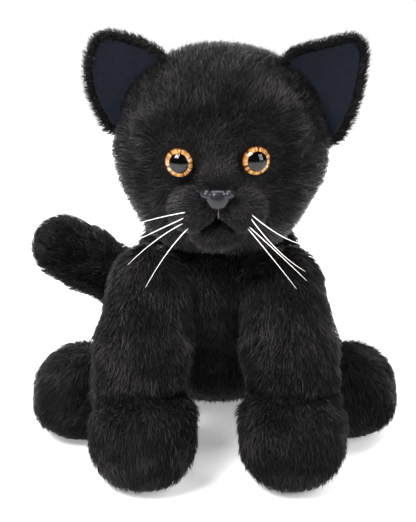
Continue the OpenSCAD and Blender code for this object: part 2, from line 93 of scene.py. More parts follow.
def add_softbox(name, place, size, power):
    data = bpy.data.lights.new(name, "AREA")
    data.shape = "RECTANGLE"
    data.size, data.size_y = size
    data.energy = power
    light = bpy.data.objects.new(name, data)
    bpy.context.scene.collection.objects.link(light)
    light.location = place
    towards = LIGHT_AIM - light.location
    light.rotation_euler = towards.to_track_quat("-Z", "Y").to_euler()


def add_world():
    """White to the eye, but a dimmer grey as a light, so that black fur stays black."""
    world = bpy.data.worlds.new("studio")
    bpy.context.scene.world = world
    world.use_nodes = True
    nodes, links = world.node_tree.nodes, world.node_tree.links
    nodes.clear()
    seen = nodes.new("ShaderNodeBackground")
    seen.inputs["Color"].default_value = (1, 1, 1, 1)
    lit = nodes.new("ShaderNodeBackground")
    lit.inputs["Color"].default_value = (0.95, 0.97, 1, 1)
    lit.inputs["Strength"].default_value = WORLD_LIGHT
    path = nodes.new("ShaderNodeLightPath")
    mix = nodes.new("ShaderNodeMixShader")
    out = nodes.new("ShaderNodeOutputWorld")
    links.new(path.outputs["Is Camera Ray"], mix.inputs[0])
    links.new(lit.outputs[0], mix.inputs[1])
    links.new(seen.outputs[0], mix.inputs[2])
    links.new(mix.outputs[0], out.inputs["Surface"])


def add_stage():
    add_world()
    for softbox in SOFTBOXES:
        add_softbox(*softbox)
    corners = [(-FLOOR_REACH, -FLOOR_REACH, 0), (FLOOR_REACH, -FLOOR_REACH, 0),
               (FLOOR_REACH, FLOOR_BACK, 0), (-FLOOR_REACH, FLOOR_BACK, 0)]
    mesh = bpy.data.meshes.new("floor")
    mesh.from_pydata(corners, [], [(0, 1, 2, 3)])
    floor = bpy.data.objects.new("floor", mesh)
    bpy.context.scene.collection.objects.link(floor)
    material, _, _, shader = new_material("pale_floor", (0.95, 0.95, 0.95), 0.8, 0.1)
    shader.inputs["Emission Color"].default_value = (1, 1, 1, 1)
    shader.inputs["Emission Strength"].default_value = FLOOR_GLOW
    mesh.materials.append(material)
    bpy.context.scene.view_settings.view_transform = "Standard"


# ---- Materials -------------------------------------------------------------------------------


def new_material(name, colour, roughness, specular=0.5):
    material = bpy.data.materials.new(name)
    material.use_nodes = True
    nodes, links = material.node_tree.nodes, material.node_tree.links
    shader = nodes["Principled BSDF"]
    shader.inputs["Base Color"].default_value = (*colour, 1)
    shader.inputs["Roughness"].default_value = roughness
    shader.inputs["Specular IOR Level"].default_value = specular
    return material, nodes, links, shader


def ramp(nodes, links, source, stops):
    node = nodes.new("ShaderNodeValToRGB")
    elements = node.color_ramp.elements
    elements.remove(elements[-1])
    elements[0].position, elements[0].color = stops[0][0], (*stops[0][1], 1)
    for place, colour in stops[1:]:
        elements.new(place).color = (*colour, 1)
    links.new(source, node.inputs["Fac"])
    return node.outputs["Color"]


def add_bump(nodes, links, shader, scale, strength, distance, detail=4):
    """Bump from fine noise in the piece's own coordinates."""
    place = nodes.new("ShaderNodeTexCoord")
    noise = nodes.new("ShaderNodeTexNoise")
    noise.inputs["Scale"].default_value = scale
    noise.inputs["Detail"].default_value = detail
    bump = nodes.new("ShaderNodeBump")
    bump.inputs["Strength"].default_value = strength
    bump.inputs["Distance"].default_value = distance
    links.new(place.outputs["Object"], noise.inputs["Vector"])
    links.new(noise.outputs["Fac"], bump.inputs["Height"])
    links.new(bump.outputs["Normal"], shader.inputs["Normal"])
    return noise


def multiply(nodes, links, a, b):
    """The product of two colours."""
    mix = nodes.new("ShaderNodeMix")
    mix.data_type = "RGBA"
    mix.blend_type = "MULTIPLY"
    mix.inputs["Factor"].default_value = 1
    links.new(a, mix.inputs["A"])
    links.new(b, mix.inputs["B"])
    return mix.outputs["Result"]


STRAND_UV = "OFBake"


def fur_material(name, root, tip, bright):
    """Strand colour: v runs from the root to the tip, and u is how light this strand is:
    its fibre's own tone, and painted highlights and painted shade where the coat gives them.
    """
    material, nodes, links, shader = new_material(name, tip, 0.38, 0.2)
    uv = nodes.new("ShaderNodeUVMap")
    uv.uv_map = STRAND_UV
    split = nodes.new("ShaderNodeSeparateXYZ")
    links.new(uv.outputs["UV"], split.inputs[0])
    along = ramp(nodes, links, split.outputs["Y"], [(0.0, root), (0.55, tip), (1.0, tip)])
    shade = ramp(nodes, links, split.outputs["X"], [
        (0.0, (0.05, 0.05, 0.055)), (0.4, (0.75, 0.75, 0.76)), (1.0, bright)])
    links.new(multiply(nodes, links, along, shade), shader.inputs["Base Color"])
    return material


def backing_material():
    """The knitted backing that shows dimly between the fur's roots."""
    material, nodes, links, shader = new_material("fur_backing", (0.008, 0.008, 0.009), 0.9, 0.1)
    noise = add_bump(nodes, links, shader, 900, 0.5, 0.0006)
    colour = ramp(nodes, links, noise.outputs["Fac"], [(0.3, (0.004, 0.004, 0.005)), (0.7, (0.013, 0.012, 0.012))])
    links.new(colour, shader.inputs["Base Color"])
    return material


# ---- Places in the CAD's boxes, in millimetres -----------------------------------------------


def middle_of(node):
    low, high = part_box(node)
    return np.array((low + high) / 2) / MM


def top_of(node):
    return np.array(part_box(node)[1]) / MM


def bottom_of(node):
    return np.array(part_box(node)[0]) / MM


def at(node, x, y, z):
    """A point in a CAD node's box, where 0 is the box's low side and 1 its high side."""
    low, high = bottom_of(node), top_of(node)
    return low + (high - low) * np.array([x, y, z])


# ---- Distances -------------------------------------------------------------------------------
# Each takes points (..., 3) in millimetres and gives the distance to a solid's skin, below 0 inside it.


def ellipsoid(points, centre, radii):
    near = (points - np.asarray(centre, float)) / np.asarray(radii, float)
    k0 = np.linalg.norm(near, axis=-1)
    k1 = np.linalg.norm(near / np.asarray(radii, float), axis=-1)
    return k0 * (k0 - 1) / np.maximum(k1, 1e-6)


def cone(points, start, end, r_start, r_end):
    """A round-ended bar whose radius changes evenly from start to end."""
    a, b = np.asarray(start, float), np.asarray(end, float)
    way = b - a
    t = np.clip(((points - a) @ way) / (way @ way), 0, 1)
    return np.linalg.norm(points - a - t[..., None] * way, axis=-1) - (r_start + (r_end - r_start) * t)


def join(a, b, k):
    """The union of two solids, with the crease between them filled over k."""
    h = np.clip(0.5 + 0.5 * (b - a) / k, 0, 1)
    return b + (a - b) * h - k * h * (1 - h)


def cut(a, b, k):
    """Solid a without solid b, with the edge rounded over k."""
    return -join(-a, b, k)


def normal_of(distance, points):
    step = 0.4
    out = np.empty_like(points)
    for axis in range(3):
        d = np.zeros(3)
        d[axis] = step
        out[:, axis] = distance(points + d) - distance(points - d)
    return out / np.maximum(np.linalg.norm(out, axis=1, keepdims=True), 1e-9)


# ---- Meshes ----------------------------------------------------------------------------------


def object_from(name, mesh, material):
    piece = bpy.data.objects.new(name, mesh)
    bpy.context.scene.collection.objects.link(piece)
    mesh.materials.append(material)
    mesh.shade_smooth()
    return piece


def skin(distance, low, high, voxel=2.0):
    """Meshes a signed distance: returns its vertices in millimetres and its faces."""
    low, high = np.asarray(low, float) - 3 * voxel, np.asarray(high, float) + 3 * voxel
    counts = np.ceil((high - low) / voxel).astype(int)
    axes = [low[i] + voxel * np.arange(counts[i]) for i in range(3)]
    points = np.stack(np.meshgrid(*axes, indexing="ij"), axis=-1)
    values = np.clip(distance(points), -3 * voxel, 3 * voxel)
    grid = openvdb.FloatGrid(3 * voxel)
    grid.copyFromArray(values.astype(np.float32))
    verts, quads = grid.convertToQuads()
    verts = np.asarray(verts, float) * voxel + low
    quads = np.asarray(quads, np.int64)
    middle = verts[quads].mean(axis=1)
    across = np.cross(verts[quads[:, 2]] - verts[quads[:, 0]], verts[quads[:, 3]] - verts[quads[:, 1]])
    if (across * normal_of(distance, middle)).sum() < 0:
        quads = quads[:, ::-1]
    return verts, quads


def skin_piece(name, verts, quads, material):
    mesh = bpy.data.meshes.new(name)
    mesh.from_pydata((verts * MM).tolist(), [], quads.tolist())
    mesh.validate()
    return object_from(name, mesh, material)


def scatter(verts, quads, density):
    """Random points on the faces, evenly spread: density(points) strands for each square millimetre."""
    corners = verts[quads]
    middle = corners.mean(axis=1)
    area = np.linalg.norm(np.cross(corners[:, 2] - corners[:, 0], corners[:, 3] - corners[:, 1]), axis=1) / 2
    wanted = area * density(middle)
    counts = np.floor(wanted + rng.random(len(wanted))).astype(int)
    chosen = corners[np.repeat(np.arange(len(quads)), counts)]
    u, v = rng.random((2, len(chosen), 1))
    low_edge = chosen[:, 0] * (1 - u) + chosen[:, 1] * u
    high_edge = chosen[:, 3] * (1 - u) + chosen[:, 2] * u
    return low_edge * (1 - v) + high_edge * v


def waves(points, length, seed, count=5):
    """A smooth random field from about -1 to 1 whose bumps are about length across."""
    local = np.random.default_rng(seed)
    total = np.zeros(len(points))
    for _ in range(count):
        way = local.normal(size=3)
        way *= 2 * math.pi / (length * local.uniform(0.7, 1.6) * np.linalg.norm(way))
        total += np.sin(points @ way + local.uniform(0, 2 * math.pi))
    return total / math.sqrt(count)


def unit(vectors):
    return vectors / np.maximum(np.linalg.norm(vectors, axis=-1, keepdims=True), 1e-9)


def along_skin(ways, normals):
    """The part of each way that lies along the skin."""
    return unit(ways - (ways * normals).sum(axis=1, keepdims=True) * normals)


RING_AT = (0.0, 0.36, 0.7)          # where a strand's rings are, from its root to its tip
RING_WIDTH = (1.0, 0.95, 0.62)      # how wide each ring is
CORNERS = 3
TONES = 64                          # how many shades of strand there are
RINGS = len(RING_AT)
TIP = RINGS * CORNERS
PILE_MOST = 11000                   # the most strands in one piece


def strand_faces():
    """The faces of one strand, as rows of its own vertex numbers: its sides, its tip and its closed root."""
    sides = [(r * CORNERS + c, r * CORNERS + (c + 1) % CORNERS, (r + 1) * CORNERS + (c + 1) % CORNERS,
              (r + 1) * CORNERS + c) for r in range(RINGS - 1) for c in range(CORNERS)]
    last = (RINGS - 1) * CORNERS
    tips = [(last + c, last + (c + 1) % CORNERS, TIP) for c in range(CORNERS)]
    return sides + tips + [tuple(reversed(range(CORNERS)))]


def strand_points(roots, normals, start_way, end_way, length, width):
    """The vertices of every strand: rings along a curve that leaves by start_way and ends along end_way."""
    across = unit(np.cross(end_way + 1e-3, normals))
    out = np.empty((len(roots), TIP + 1, 3))
    for r, (s, wide) in enumerate(zip(RING_AT, RING_WIDTH)):
        middle = roots + length[:, None] * (start_way * s + (end_way - start_way) * s * s / 2)
        way = unit(start_way * (1 - s) + end_way * s)
        up = unit(np.cross(way, across))
        for c in range(CORNERS):
            turn = 2 * math.pi * (c + 0.25) / CORNERS
            outwards = across * math.cos(turn) + up * math.sin(turn)
            out[:, r * CORNERS + c] = middle + outwards * (width * wide / 2)[:, None]
    out[:, TIP] = roots + length[:, None] * (start_way + end_way) / 2
    return out


def gather(points, amount, tuft_size):
    """Pulls the strands' tips together into tufts of about tuft_size strands."""
    roots = points[:, :CORNERS].mean(axis=1)
    leaders = np.arange(0, len(roots), tuft_size)
    tree = kdtree.KDTree(len(leaders))
    for n, i in enumerate(leaders):
        tree.insert(roots[i], n)
    tree.balance()
    leader = leaders[np.array([tree.find(p)[1] for p in roots.tolist()], dtype=int)]
    tip_gap = points[leader, TIP] - points[:, TIP]
    for r, s in enumerate(RING_AT):
        points[:, r * CORNERS:(r + 1) * CORNERS] += (tip_gap * (amount * s * s)[:, None])[:, None, :]
    points[:, TIP] += tip_gap * amount[:, None]


def strand_mesh(name, points, tone):
    faces = strand_faces()
    count, per = len(points), points.shape[1]
    corner_list = np.array([i for face in faces for i in face])
    starts = np.cumsum([0] + [len(face) for face in faces])
    mesh = bpy.data.meshes.new(name)
    mesh.vertices.add(count * per)
    mesh.vertices.foreach_set("co", (points * MM).astype(np.float32).ravel())
    loops = (np.arange(count)[:, None] * per + corner_list[None, :]).ravel()
    mesh.loops.add(len(loops))
    mesh.loops.foreach_set("vertex_index", loops.astype(np.int32))
    mesh.polygons.add(count * len(faces))
    begin = (np.arange(count)[:, None] * len(corner_list) + starts[None, :-1]).ravel()
    mesh.polygons.foreach_set("loop_start", begin.astype(np.int32))
    mesh.update(calc_edges=True)
    layer = mesh.uv_layers.new(name=STRAND_UV)
    column = (np.floor(np.clip(tone, 0, 0.999) * TONES) + 0.5) / TONES
    sway = np.array([(i % CORNERS - 1) * 0.3 / TONES if i < TIP else 0 for i in corner_list])
    rise = np.array([RING_AT[i // CORNERS] if i < TIP else 1 for i in corner_list]) * 0.96 + 0.02
    uv = np.empty((count, len(corner_list), 2))
    uv[..., 0] = column[:, None] + sway[None, :]
    uv[..., 1] = rise[None, :]
    layer.data.foreach_set("uv", uv.astype(np.float32).ravel())
    return mesh


class Coat:
    """How the pile lies on a stuffed part.

    comb(roots, normals) is the way it lies, and length(roots) its length in millimetres. density is a number or a
    function of points, in strands for each square millimetre. The last argument, a function of the roots, is how much
    lighter the pile is than usual: its own tone, and on the head, torso and front legs painted highlights and shade.
    """

    def __init__(self, comb, length, density=0.55, width=0.5, lift=0.5, tuft=0.4, tone=None):
        self.comb, self.length, self.density = comb, length, density
        self.width, self.lift, self.tuft, self.tone = width, lift, tuft, tone or (lambda roots: 0.0)


def grow(distance, verts, quads, coat):
    """Grows a coat on a skin: returns each strand's root, its points and how light it is, tone and painted light
    together.
    """
    density = coat.density if callable(coat.density) else (lambda p: np.full(len(p), coat.density))
    roots = scatter(verts, quads, density)
    normals = normal_of(distance, roots)
    length = coat.length(roots) * rng.uniform(0.72, 1.12, len(roots))
    comb = along_skin(coat.comb(roots, normals), normals)
    swirl = np.stack([waves(roots, 38, s) for s in (1, 2, 3)], axis=1)
    ruffle = rng.normal(size=roots.shape)
    comb = along_skin(comb + 0.28 * swirl + 0.2 * ruffle, normals)
    lift = coat.lift + 0.1 * waves(roots, 24, 4) + rng.normal(scale=0.07, size=len(roots))
    lift = np.clip(lift, 0.1, 0.95)[:, None]
    start_way = unit(normals * lift + comb * (1 - lift))
    end_way = unit(normals * lift * 0.25 + comb + np.array([0, 0, -0.18]) + 0.16 * ruffle)
    width = coat.width * rng.uniform(0.7, 1.2, len(roots))
    points = strand_points(roots - normals * 0.7, normals, start_way, end_way, length, width)
    gather(points, coat.tuft * rng.uniform(0.3, 1.0, len(roots)), 12)
    points[..., 2] = np.maximum(points[..., 2], 0.15 + 0.1 * rng.random(points.shape[:2]))
    # how light each strand is: the coat's painted highlights and shade, then the fibre's own tone in random waves and
    # single lighter hairs
    tone = 0.34 + coat.tone(roots) + 0.15 * waves(roots, 30, 5) + 0.1 * waves(roots, 9, 6)
    tone += rng.normal(scale=0.14, size=len(roots))
    tone += (rng.random(len(roots)) < 0.06) * rng.uniform(0.15, 0.5, len(roots))
    return roots, points, np.clip(tone, 0.02, 0.98)


def mirror(points):
    """The points folded to the cat's left side."""
    return np.stack([np.abs(points[..., 0]), points[..., 1], points[..., 2]], axis=-1)


def smooth(t):
    t = np.clip(t, 0, 1)
    return t * t * (3 - 2 * t)


def spots(roots, places):
    """The sum of soft spots, each given by its middle, its size and its strength."""
    total = np.zeros(len(roots))
    for middle, size, strength in places:
        total += strength * np.exp(-(np.linalg.norm(roots - np.asarray(middle, float), axis=1) / size) ** 2)
    return total


def add_pile(node, points, tone, skin_of_part):
    """The strands of one sewn panel, in as many pieces as its size needs."""
    parts = max(1, math.ceil(len(points) / PILE_MOST))
    for n in range(parts):
        name = f"{node}_pile_{n + 1}" if parts > 1 else node + "_pile"
        pile = object_from(name, strand_mesh(name, points[n::parts], tone[n::parts]), FUR)
        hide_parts(node)
        pile.parent = skin_of_part


def furred_part(name, body, distance, low, high, coat, panels, stuffing, voxel=2.0):
    """One stuffed part: its skin, and the pile of each sewn panel. panels maps a CAD node to a test of roots."""
    verts, quads = skin(distance, low, high, voxel)
    piece = skin_piece(name + "_skin", verts, quads, BACKING)
    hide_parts(*stuffing)
    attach(piece, body)
    roots, points, tone = grow(distance, verts, quads, coat)
    left = np.ones(len(roots), bool)
    for node, belongs in panels.items():
        mine = left & belongs(roots)
        left &= ~mine
        add_pile(node, points[mine], tone[mine], piece)
    print(name, len(quads), "faces", len(roots), "strands", int(left.sum()), "left over")
    return piece


FUR = fur_material("black_pile", (0.0008, 0.0008, 0.0009), (0.0086, 0.0079, 0.0084), (9.0, 8.5, 8.3))
BACKING = backing_material()


# ---- Head ------------------------------------------------------------------------------------

HEAD_W = top_of("cheek_left")[0]
HEAD = np.array([0.0, top_of("head_back")[1] - HEAD_W * 0.93, top_of("head_crown")[2] - HEAD_W * 0.97])
HEAD_R = np.array([HEAD_W * 0.95, HEAD_W * 0.87, HEAD_W * 0.93])
EYE_TURN = math.radians(21)
EYE_OUT = np.array([math.sin(EYE_TURN), -math.cos(EYE_TURN), 0])
EYE_SIDE = np.array([math.cos(EYE_TURN), math.sin(EYE_TURN), 0])
EYE_SEAT = middle_of("eye_dome_left") - EYE_OUT * 5.2 + EYE_SIDE * 1.2
EYE_R = (top_of("eye_dome_left")[2] - bottom_of("eye_dome_left")[2]) / 2 * 0.93
EYE_SHIFT = {"left": (0, 0, -0.4), "right": (0, 0, -1.5)}
PUPIL_SHIFT = {"left": -0.1, "right": 0.75}      # how far the printed pupil lies off the middle of its disc
FACE_X = -0.9                        # the face lies slightly to the cat's right of the head's middle
HEAD_ASIDE = 1.5                     # how far the head's ball lies to the cat's left
JAW_TAPER = 0.05                     # how much narrower the jaw is than the head
NOSE = np.array([FACE_X, bottom_of("nose")[1] + 9, middle_of("nose")[2] + 0.4])
NOSE_SCALE = (top_of("nose")[0] - bottom_of("nose")[0]) / 20      # nose_distance draws it 20 mm wide
MOUTH = [(0, -12.5), (0, -14.5), (4.2, -17.0), (8.0, -20.5)]      # X and Z from the nose, on the cat's left


def face_half(points):
    """The points folded to the cat's left side of the face's own middle plane."""
    return mirror(points - np.array([FACE_X, 0, 0]))


def eye_frame(points):
    """Points of either side seen from the eye's seat: across, outwards and up."""
    p = face_half(points) - EYE_SEAT
    return np.stack([p @ EYE_SIDE, p @ EYE_OUT, p[..., 2]], axis=-1)


def mouth_gap(points):
    """How far a point in front of the face is from the line of the mouth."""
    p = face_half(points) - NOSE * (0, 1, 1)
    flat = p[..., [0, 2]]
    nearest = np.full(flat.shape[:-1], 99.0)
    for a, b in zip(MOUTH[:-1], MOUTH[1:]):
        a, way = np.array(a), np.subtract(b, a)
        t = np.clip(((flat - a) @ way) / (way @ way), 0, 1)
        nearest = np.minimum(nearest, np.linalg.norm(flat - a - t[..., None] * way, axis=-1))
    return nearest + np.clip(p[..., 1] - 22, 0, None)


def head_distance(points):
    p = points - HEAD
    jaw = 1 - JAW_TAPER * smooth((2 - p[..., 2]) / 44)
    aside = p[..., 0] - HEAD_ASIDE
    q = np.stack([aside / jaw, p[..., 1], p[..., 2]], axis=-1)
    m = mirror(p)
    f = face_half(points) - HEAD
    d = ellipsoid(q, (0, 0, 0), HEAD_R) * 0.9
    d = join(d, ellipsoid(q, (0, 2, 27), (53, 45, 32)), 8)
    d = join(d, ellipsoid(m, (16, -22, -24), (27, 29, 24)), 12)
    d = join(d, ellipsoid(m, (24, -34, 22), (22, 20, 18)), 12)
    d = join(d, ellipsoid(f, (0, -50, 2), (12.5, 19, 24)), 6)
    d = join(d, ellipsoid(f, (0, -50, -35), (15.5, 17, 10)), 3)
    d = join(d, ellipsoid(f, (12.5, -55.5, -20), (15, 17.5, 13.5)), 3)
    eye = eye_frame(points)
    d = cut(d, ellipsoid(eye, (0, 0, 0), (10.5, 3.2, 10.5)), 3)
    return d + 2.6 * np.exp(-(mouth_gap(points) / 1.7) ** 2)


def head_comb(roots, normals):
    """Away from the nose over the face, round the eyes, and turning down behind the ears."""
    p = roots - HEAD
    away = unit(roots - (NOSE + np.array([0, 2, 5])))
    behind = np.clip((p[:, 1] + 5) / 50, 0, 1)[:, None]
    comb = away * (1 - behind) + np.array([0, 0.25, -1.0]) * behind
    eye = eye_frame(roots)
    near = smooth((17 - np.hypot(eye[:, 0], eye[:, 2])) / 7)[:, None]
    side = np.sign(roots[:, :1] - FACE_X)
    from_eye = unit(np.stack([eye[:, 0], np.zeros(len(roots)), eye[:, 2]], axis=1))
    from_eye = from_eye * np.hstack([side, side * 0, side ** 2])
    return comb * (1 - 0.75 * near) + from_eye * 0.75 * near


def face_nearness(roots):
    """1 at the muzzle and eyes, 0 from the cheeks and forehead back."""
    near = np.linalg.norm((roots - NOSE) / np.array([1.05, 1.3, 0.95]), axis=1)
    eye = eye_frame(roots)
    return np.maximum(np.clip((46 - near) / 24, 0, 1), smooth((19 - np.hypot(eye[:, 0], eye[:, 2])) / 8))


def head_length(roots):
    length = 9.5 - 5.6 * face_nearness(roots)
    return np.minimum(length, 1.3 + 0.75 * mouth_gap(roots))


def head_density(roots):
    p = roots - HEAD
    density = 0.72 + 0.5 * face_nearness(roots)
    eye = eye_frame(roots)
    under_eye = (np.hypot(eye[:, 0], eye[:, 2]) < EYE_R - 0.6) & (p[:, 1] < -20)
    under_nose = np.linalg.norm((roots - NOSE) / np.array([8.5, 6, 5]), axis=1) < 1
    hidden = under_eye | under_nose
    on_neck = p[:, 2] < -50              # thinner where the head rests on the chest
    return density * np.where(on_neck, 0.4, 1.0) * ~hidden


# Painted light on the head's fur: lighter spots are painted highlights on the nose's bridge, the muzzle pads, the lower
# cheeks, the crown, the chin and the upper brow; darker spots are painted shade on the forehead, round the eyes, beside
# the nose and under it, and along the mouth's line.
def head_painted_light(roots):
    p = face_half(roots) - HEAD
    tone = spots(p, [
        ((0, -66, 10), 11, 0.24), ((23, -66, -14), 10, 0.26), ((0, -72, -2), 6, -0.32), ((12, -46, 36), 17, -0.2),
        ((46, -26, -20), 18, 0.24), ((0, 0, 62), 26, 0.18), ((0, -62, -42), 12, 0.3), ((36, -36, 36), 14, 0.2),
        ((20, -60, 22), 9, -0.26), ((36, -52, 4), 9, -0.2), ((32, -52, -20), 6, -0.3), ((0, -70, -29), 7, -0.3)])
    return tone - 0.35 * np.exp(-(mouth_gap(roots) / 1.8) ** 2)


def latitude(roots):
    return np.degrees(np.arcsin(np.clip((roots - HEAD)[:, 2] / HEAD_R[2], -1, 1)))


def heading(roots):
    """Degrees round the head from straight ahead, towards the cat's left."""
    p = roots - HEAD
    return np.degrees(np.arctan2(p[:, 0], -p[:, 1]))


def add_head():
    panels = {
        "head_crown": lambda r: latitude(r) > 48,
        "head_back": lambda r: np.abs(heading(r)) > 156,
        "chin": lambda r: (np.abs(heading(r)) < 36) & (latitude(r) < -36),
        "muzzle": lambda r: np.abs(heading(r)) < 36,
        "cheek_left": lambda r: heading(r) > 0,
        "cheek_right": lambda r: heading(r) <= 0,
    }
    coat = Coat(head_comb, head_length, head_density, width=0.4, lift=0.46, tone=head_painted_light)
    room = np.array([6, 24, 6])
    return furred_part("head", "head", head_distance, HEAD - HEAD_R - room, HEAD + HEAD_R + 6,
                       coat, panels, ["head_stuffing"], voxel=1.5)


# ---- Eyes, nose, mouth and whiskers ----------------------------------------------------------


def lathe(name, profile, sides, material):
    """A round piece about its own Z axis, from pairs of radius and height in millimetres, both ends on the axis."""
    verts, faces = [(0, 0, profile[0][1])], []
    for radius, height in profile[1:-1]:
        verts += [(radius * math.cos(2 * math.pi * k / sides), radius * math.sin(2 * math.pi * k / sides), height)
                  for k in range(sides)]
    verts.append((0, 0, profile[-1][1]))
    rings = len(profile) - 2
    for k in range(sides):
        n = (k + 1) % sides
        faces.append((0, 1 + n, 1 + k))
        for r in range(rings - 1):
            a = 1 + r * sides
            faces.append((a + k, a + n, a + sides + n, a + sides + k))
        last = 1 + (rings - 1) * sides
        faces.append((last + k, last + n, len(verts) - 1))
    mesh = bpy.data.meshes.new(name)
    mesh.from_pydata([tuple(c * MM for c in v) for v in verts], [], faces)
    piece = object_from(name, mesh, material)
    for face in mesh.polygons:           # a flat base shaded smooth would bend what is seen through the glass
        face.use_smooth = abs(face.normal.z) < 0.9999
    return piece


def round_the_middle(nodes, links):
    """The angle about a disc's own Z axis, and the distance from it."""
    place = nodes.new("ShaderNodeTexCoord")
    split = nodes.new("ShaderNodeSeparateXYZ")
    links.new(place.outputs["Object"], split.inputs[0])
    angle = nodes.new("ShaderNodeMath")
    angle.operation = "ARCTAN2"
    links.new(split.outputs["Y"], angle.inputs[0])
    links.new(split.outputs["X"], angle.inputs[1])
    flat = nodes.new("ShaderNodeCombineXYZ")
    links.new(split.outputs["X"], flat.inputs["X"])
    links.new(split.outputs["Y"], flat.inputs["Y"])
    reach = nodes.new("ShaderNodeVectorMath")
    reach.operation = "LENGTH"
    links.new(flat.outputs[0], reach.inputs[0])
    return angle.outputs[0], reach.outputs["Value"]


def eye_material():
    """Amber with brown rays round a black pupil. The pattern lies in the disc's own X and Y."""
    material, nodes, links, shader = new_material("amber_iris", (0.8, 0.4, 0.1), 0.5, 0.0)
    angle, reach = round_the_middle(nodes, links)
    spoke = nodes.new("ShaderNodeCombineXYZ")
    links.new(angle, spoke.inputs["X"])
    links.new(reach, spoke.inputs["Y"])
    rays = nodes.new("ShaderNodeTexNoise")
    rays.inputs["Scale"].default_value = 4.5
    rays.inputs["Detail"].default_value = 5
    links.new(spoke.outputs[0], rays.inputs["Vector"])
    gold = ramp(nodes, links, rays.outputs["Fac"], [
        (0.38, (0.1, 0.035, 0.01)), (0.46, (0.5, 0.2, 0.045)), (0.52, (0.9, 0.46, 0.12)), (0.64, (1.0, 0.78, 0.46))])
    scaled = nodes.new("ShaderNodeMath")
    scaled.operation = "MULTIPLY"
    scaled.inputs[1].default_value = 1 / (EYE_R * MM)
    links.new(reach, scaled.inputs[0])
    ring = ramp(nodes, links, scaled.outputs[0], [
        (0.0, (0, 0, 0)), (0.6, (0, 0, 0)), (0.625, (1, 1, 1)), (0.9, (1, 0.95, 0.9)), (0.97, (0.32, 0.16, 0.07))])
    links.new(multiply(nodes, links, gold, ring), shader.inputs["Base Color"])
    return material


def dome_material():
    material, nodes, links, shader = new_material("clear_dome", (1, 1, 1), 0.03)
    shader.inputs["Transmission Weight"].default_value = 1
    shader.inputs["IOR"].default_value = 1.46
    add_bump(nodes, links, shader, 300, 0.02, 0.0001)
    return material


def add_eye(side, iris_look, dome_look):
    r = EYE_R
    dome_h = 5.2
    ball = (r * r + dome_h * dome_h) / (2 * dome_h)
    arc = [math.asin(r / ball) * (1 - t / 12) for t in range(13)]
    base = -0.12                         # the dome's base lies inside the disc, so that no air shows between them
    dome_profile = [(0, base)] + [(ball * math.sin(a), base + dome_h - ball + ball * math.cos(a)) for a in arc[:-1]] + [
        (0, base + dome_h)]
    disc_profile = [(0, -1.4), (r - 0.6, -1.4), (r, -0.9), (r, -0.35), (r - 0.3, 0), (r * 0.63, -0.02), (r * 0.6, 0.0),
                    (0, 0)]
    k = SIDES[side]
    seat = EYE_SEAT * (k, 1, 1) + (FACE_X, 0, 0) + EYE_SHIFT[side]
    turn = Matrix.Rotation(k * EYE_TURN, 4, "Z") @ Matrix.Rotation(math.pi / 2, 4, "X")
    for name, profile, look, slot_name in (("eye_iris_", disc_profile, iris_look, "eye_amber"),
                                           ("eye_dome_", dome_profile, dome_look, "eye_clear")):
        piece = lathe(name + side + "_shown", profile, 64, look)
        aside = Matrix.Translation((PUPIL_SHIFT[side] * MM, 0, 0))
        piece.data.transform(aside.inverted())
        piece.matrix_world = Matrix.Translation(Vector(seat * MM)) @ turn @ aside
        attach(piece, "head")
        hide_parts(name + side)


def nose_distance(points):
    p = (points - NOSE) / NOSE_SCALE
    m = mirror(p)
    d = ellipsoid(p, (0, 0.2, 1.6), (8.6, 3.9, 3.9))
    d = join(d, ellipsoid(m, (6.2, 0.0, 2.9), (3.6, 4.2, 2.9)), 0.8)
    d = join(d, ellipsoid(p, (0, -0.2, -1.6), (5.6, 4.1, 4.7)), 2.4)
    d = cut(d, cone(m, (4.4, -4.3, -0.6), (3.5, -4.2, -3.0), 1.0, 0.6), 0.5)
    d = cut(d, cone(p, (0, -5.4, 5.2), (0, -5.0, 2.6), 1.0, 0.4), 1.6)
    return d * NOSE_SCALE


def add_nose():
    material, nodes, links, shader = new_material("moulded_nose", (0.012, 0.012, 0.015), 0.3, 0.34)
    noise = add_bump(nodes, links, shader, 1400, 0.12, 0.0002)
    shade = ramp(nodes, links, noise.outputs["Fac"], [(0.3, (0.006, 0.006, 0.009)), (0.7, (0.014, 0.014, 0.019))])
    links.new(shade, shader.inputs["Base Color"])
    verts, quads = skin(nose_distance, NOSE - 12, NOSE + 12, 0.4)
    piece = skin_piece("nose_shown", verts, quads, material)
    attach(piece, "head")
    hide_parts("nose")


def tube(name, curves, radii, sides, material):
    """Closed tapered rods along curves of points in millimetres: radii gives a radius for each share of the way."""
    verts, faces = [], []
    for curve in curves:
        first, count = len(verts), len(curve)
        for i, point in enumerate(curve):
            way = Vector(curve[min(i + 1, count - 1)] - curve[max(i - 1, 0)]).normalized()
            a = way.cross(Vector((0, 1, 0))).normalized()
            b = way.cross(a)
            radius = radii(i / (count - 1))
            for turn in (2 * math.pi * k / sides for k in range(sides)):
                verts.append(tuple((Vector(point) + (a * math.cos(turn) + b * math.sin(turn)) * radius) * MM))
        for i in range(count - 1):
            for k in range(sides):
                n = (k + 1) % sides
                low, top = first + i * sides, first + (i + 1) * sides
                faces.append((low + k, low + n, top + n, top + k))
        faces.append(tuple(first + k for k in reversed(range(sides))))
        faces.append(tuple(first + (count - 1) * sides + k for k in range(sides)))
    mesh = bpy.data.meshes.new(name)
    mesh.from_pydata(verts, [], faces)
    return object_from(name, mesh, material)


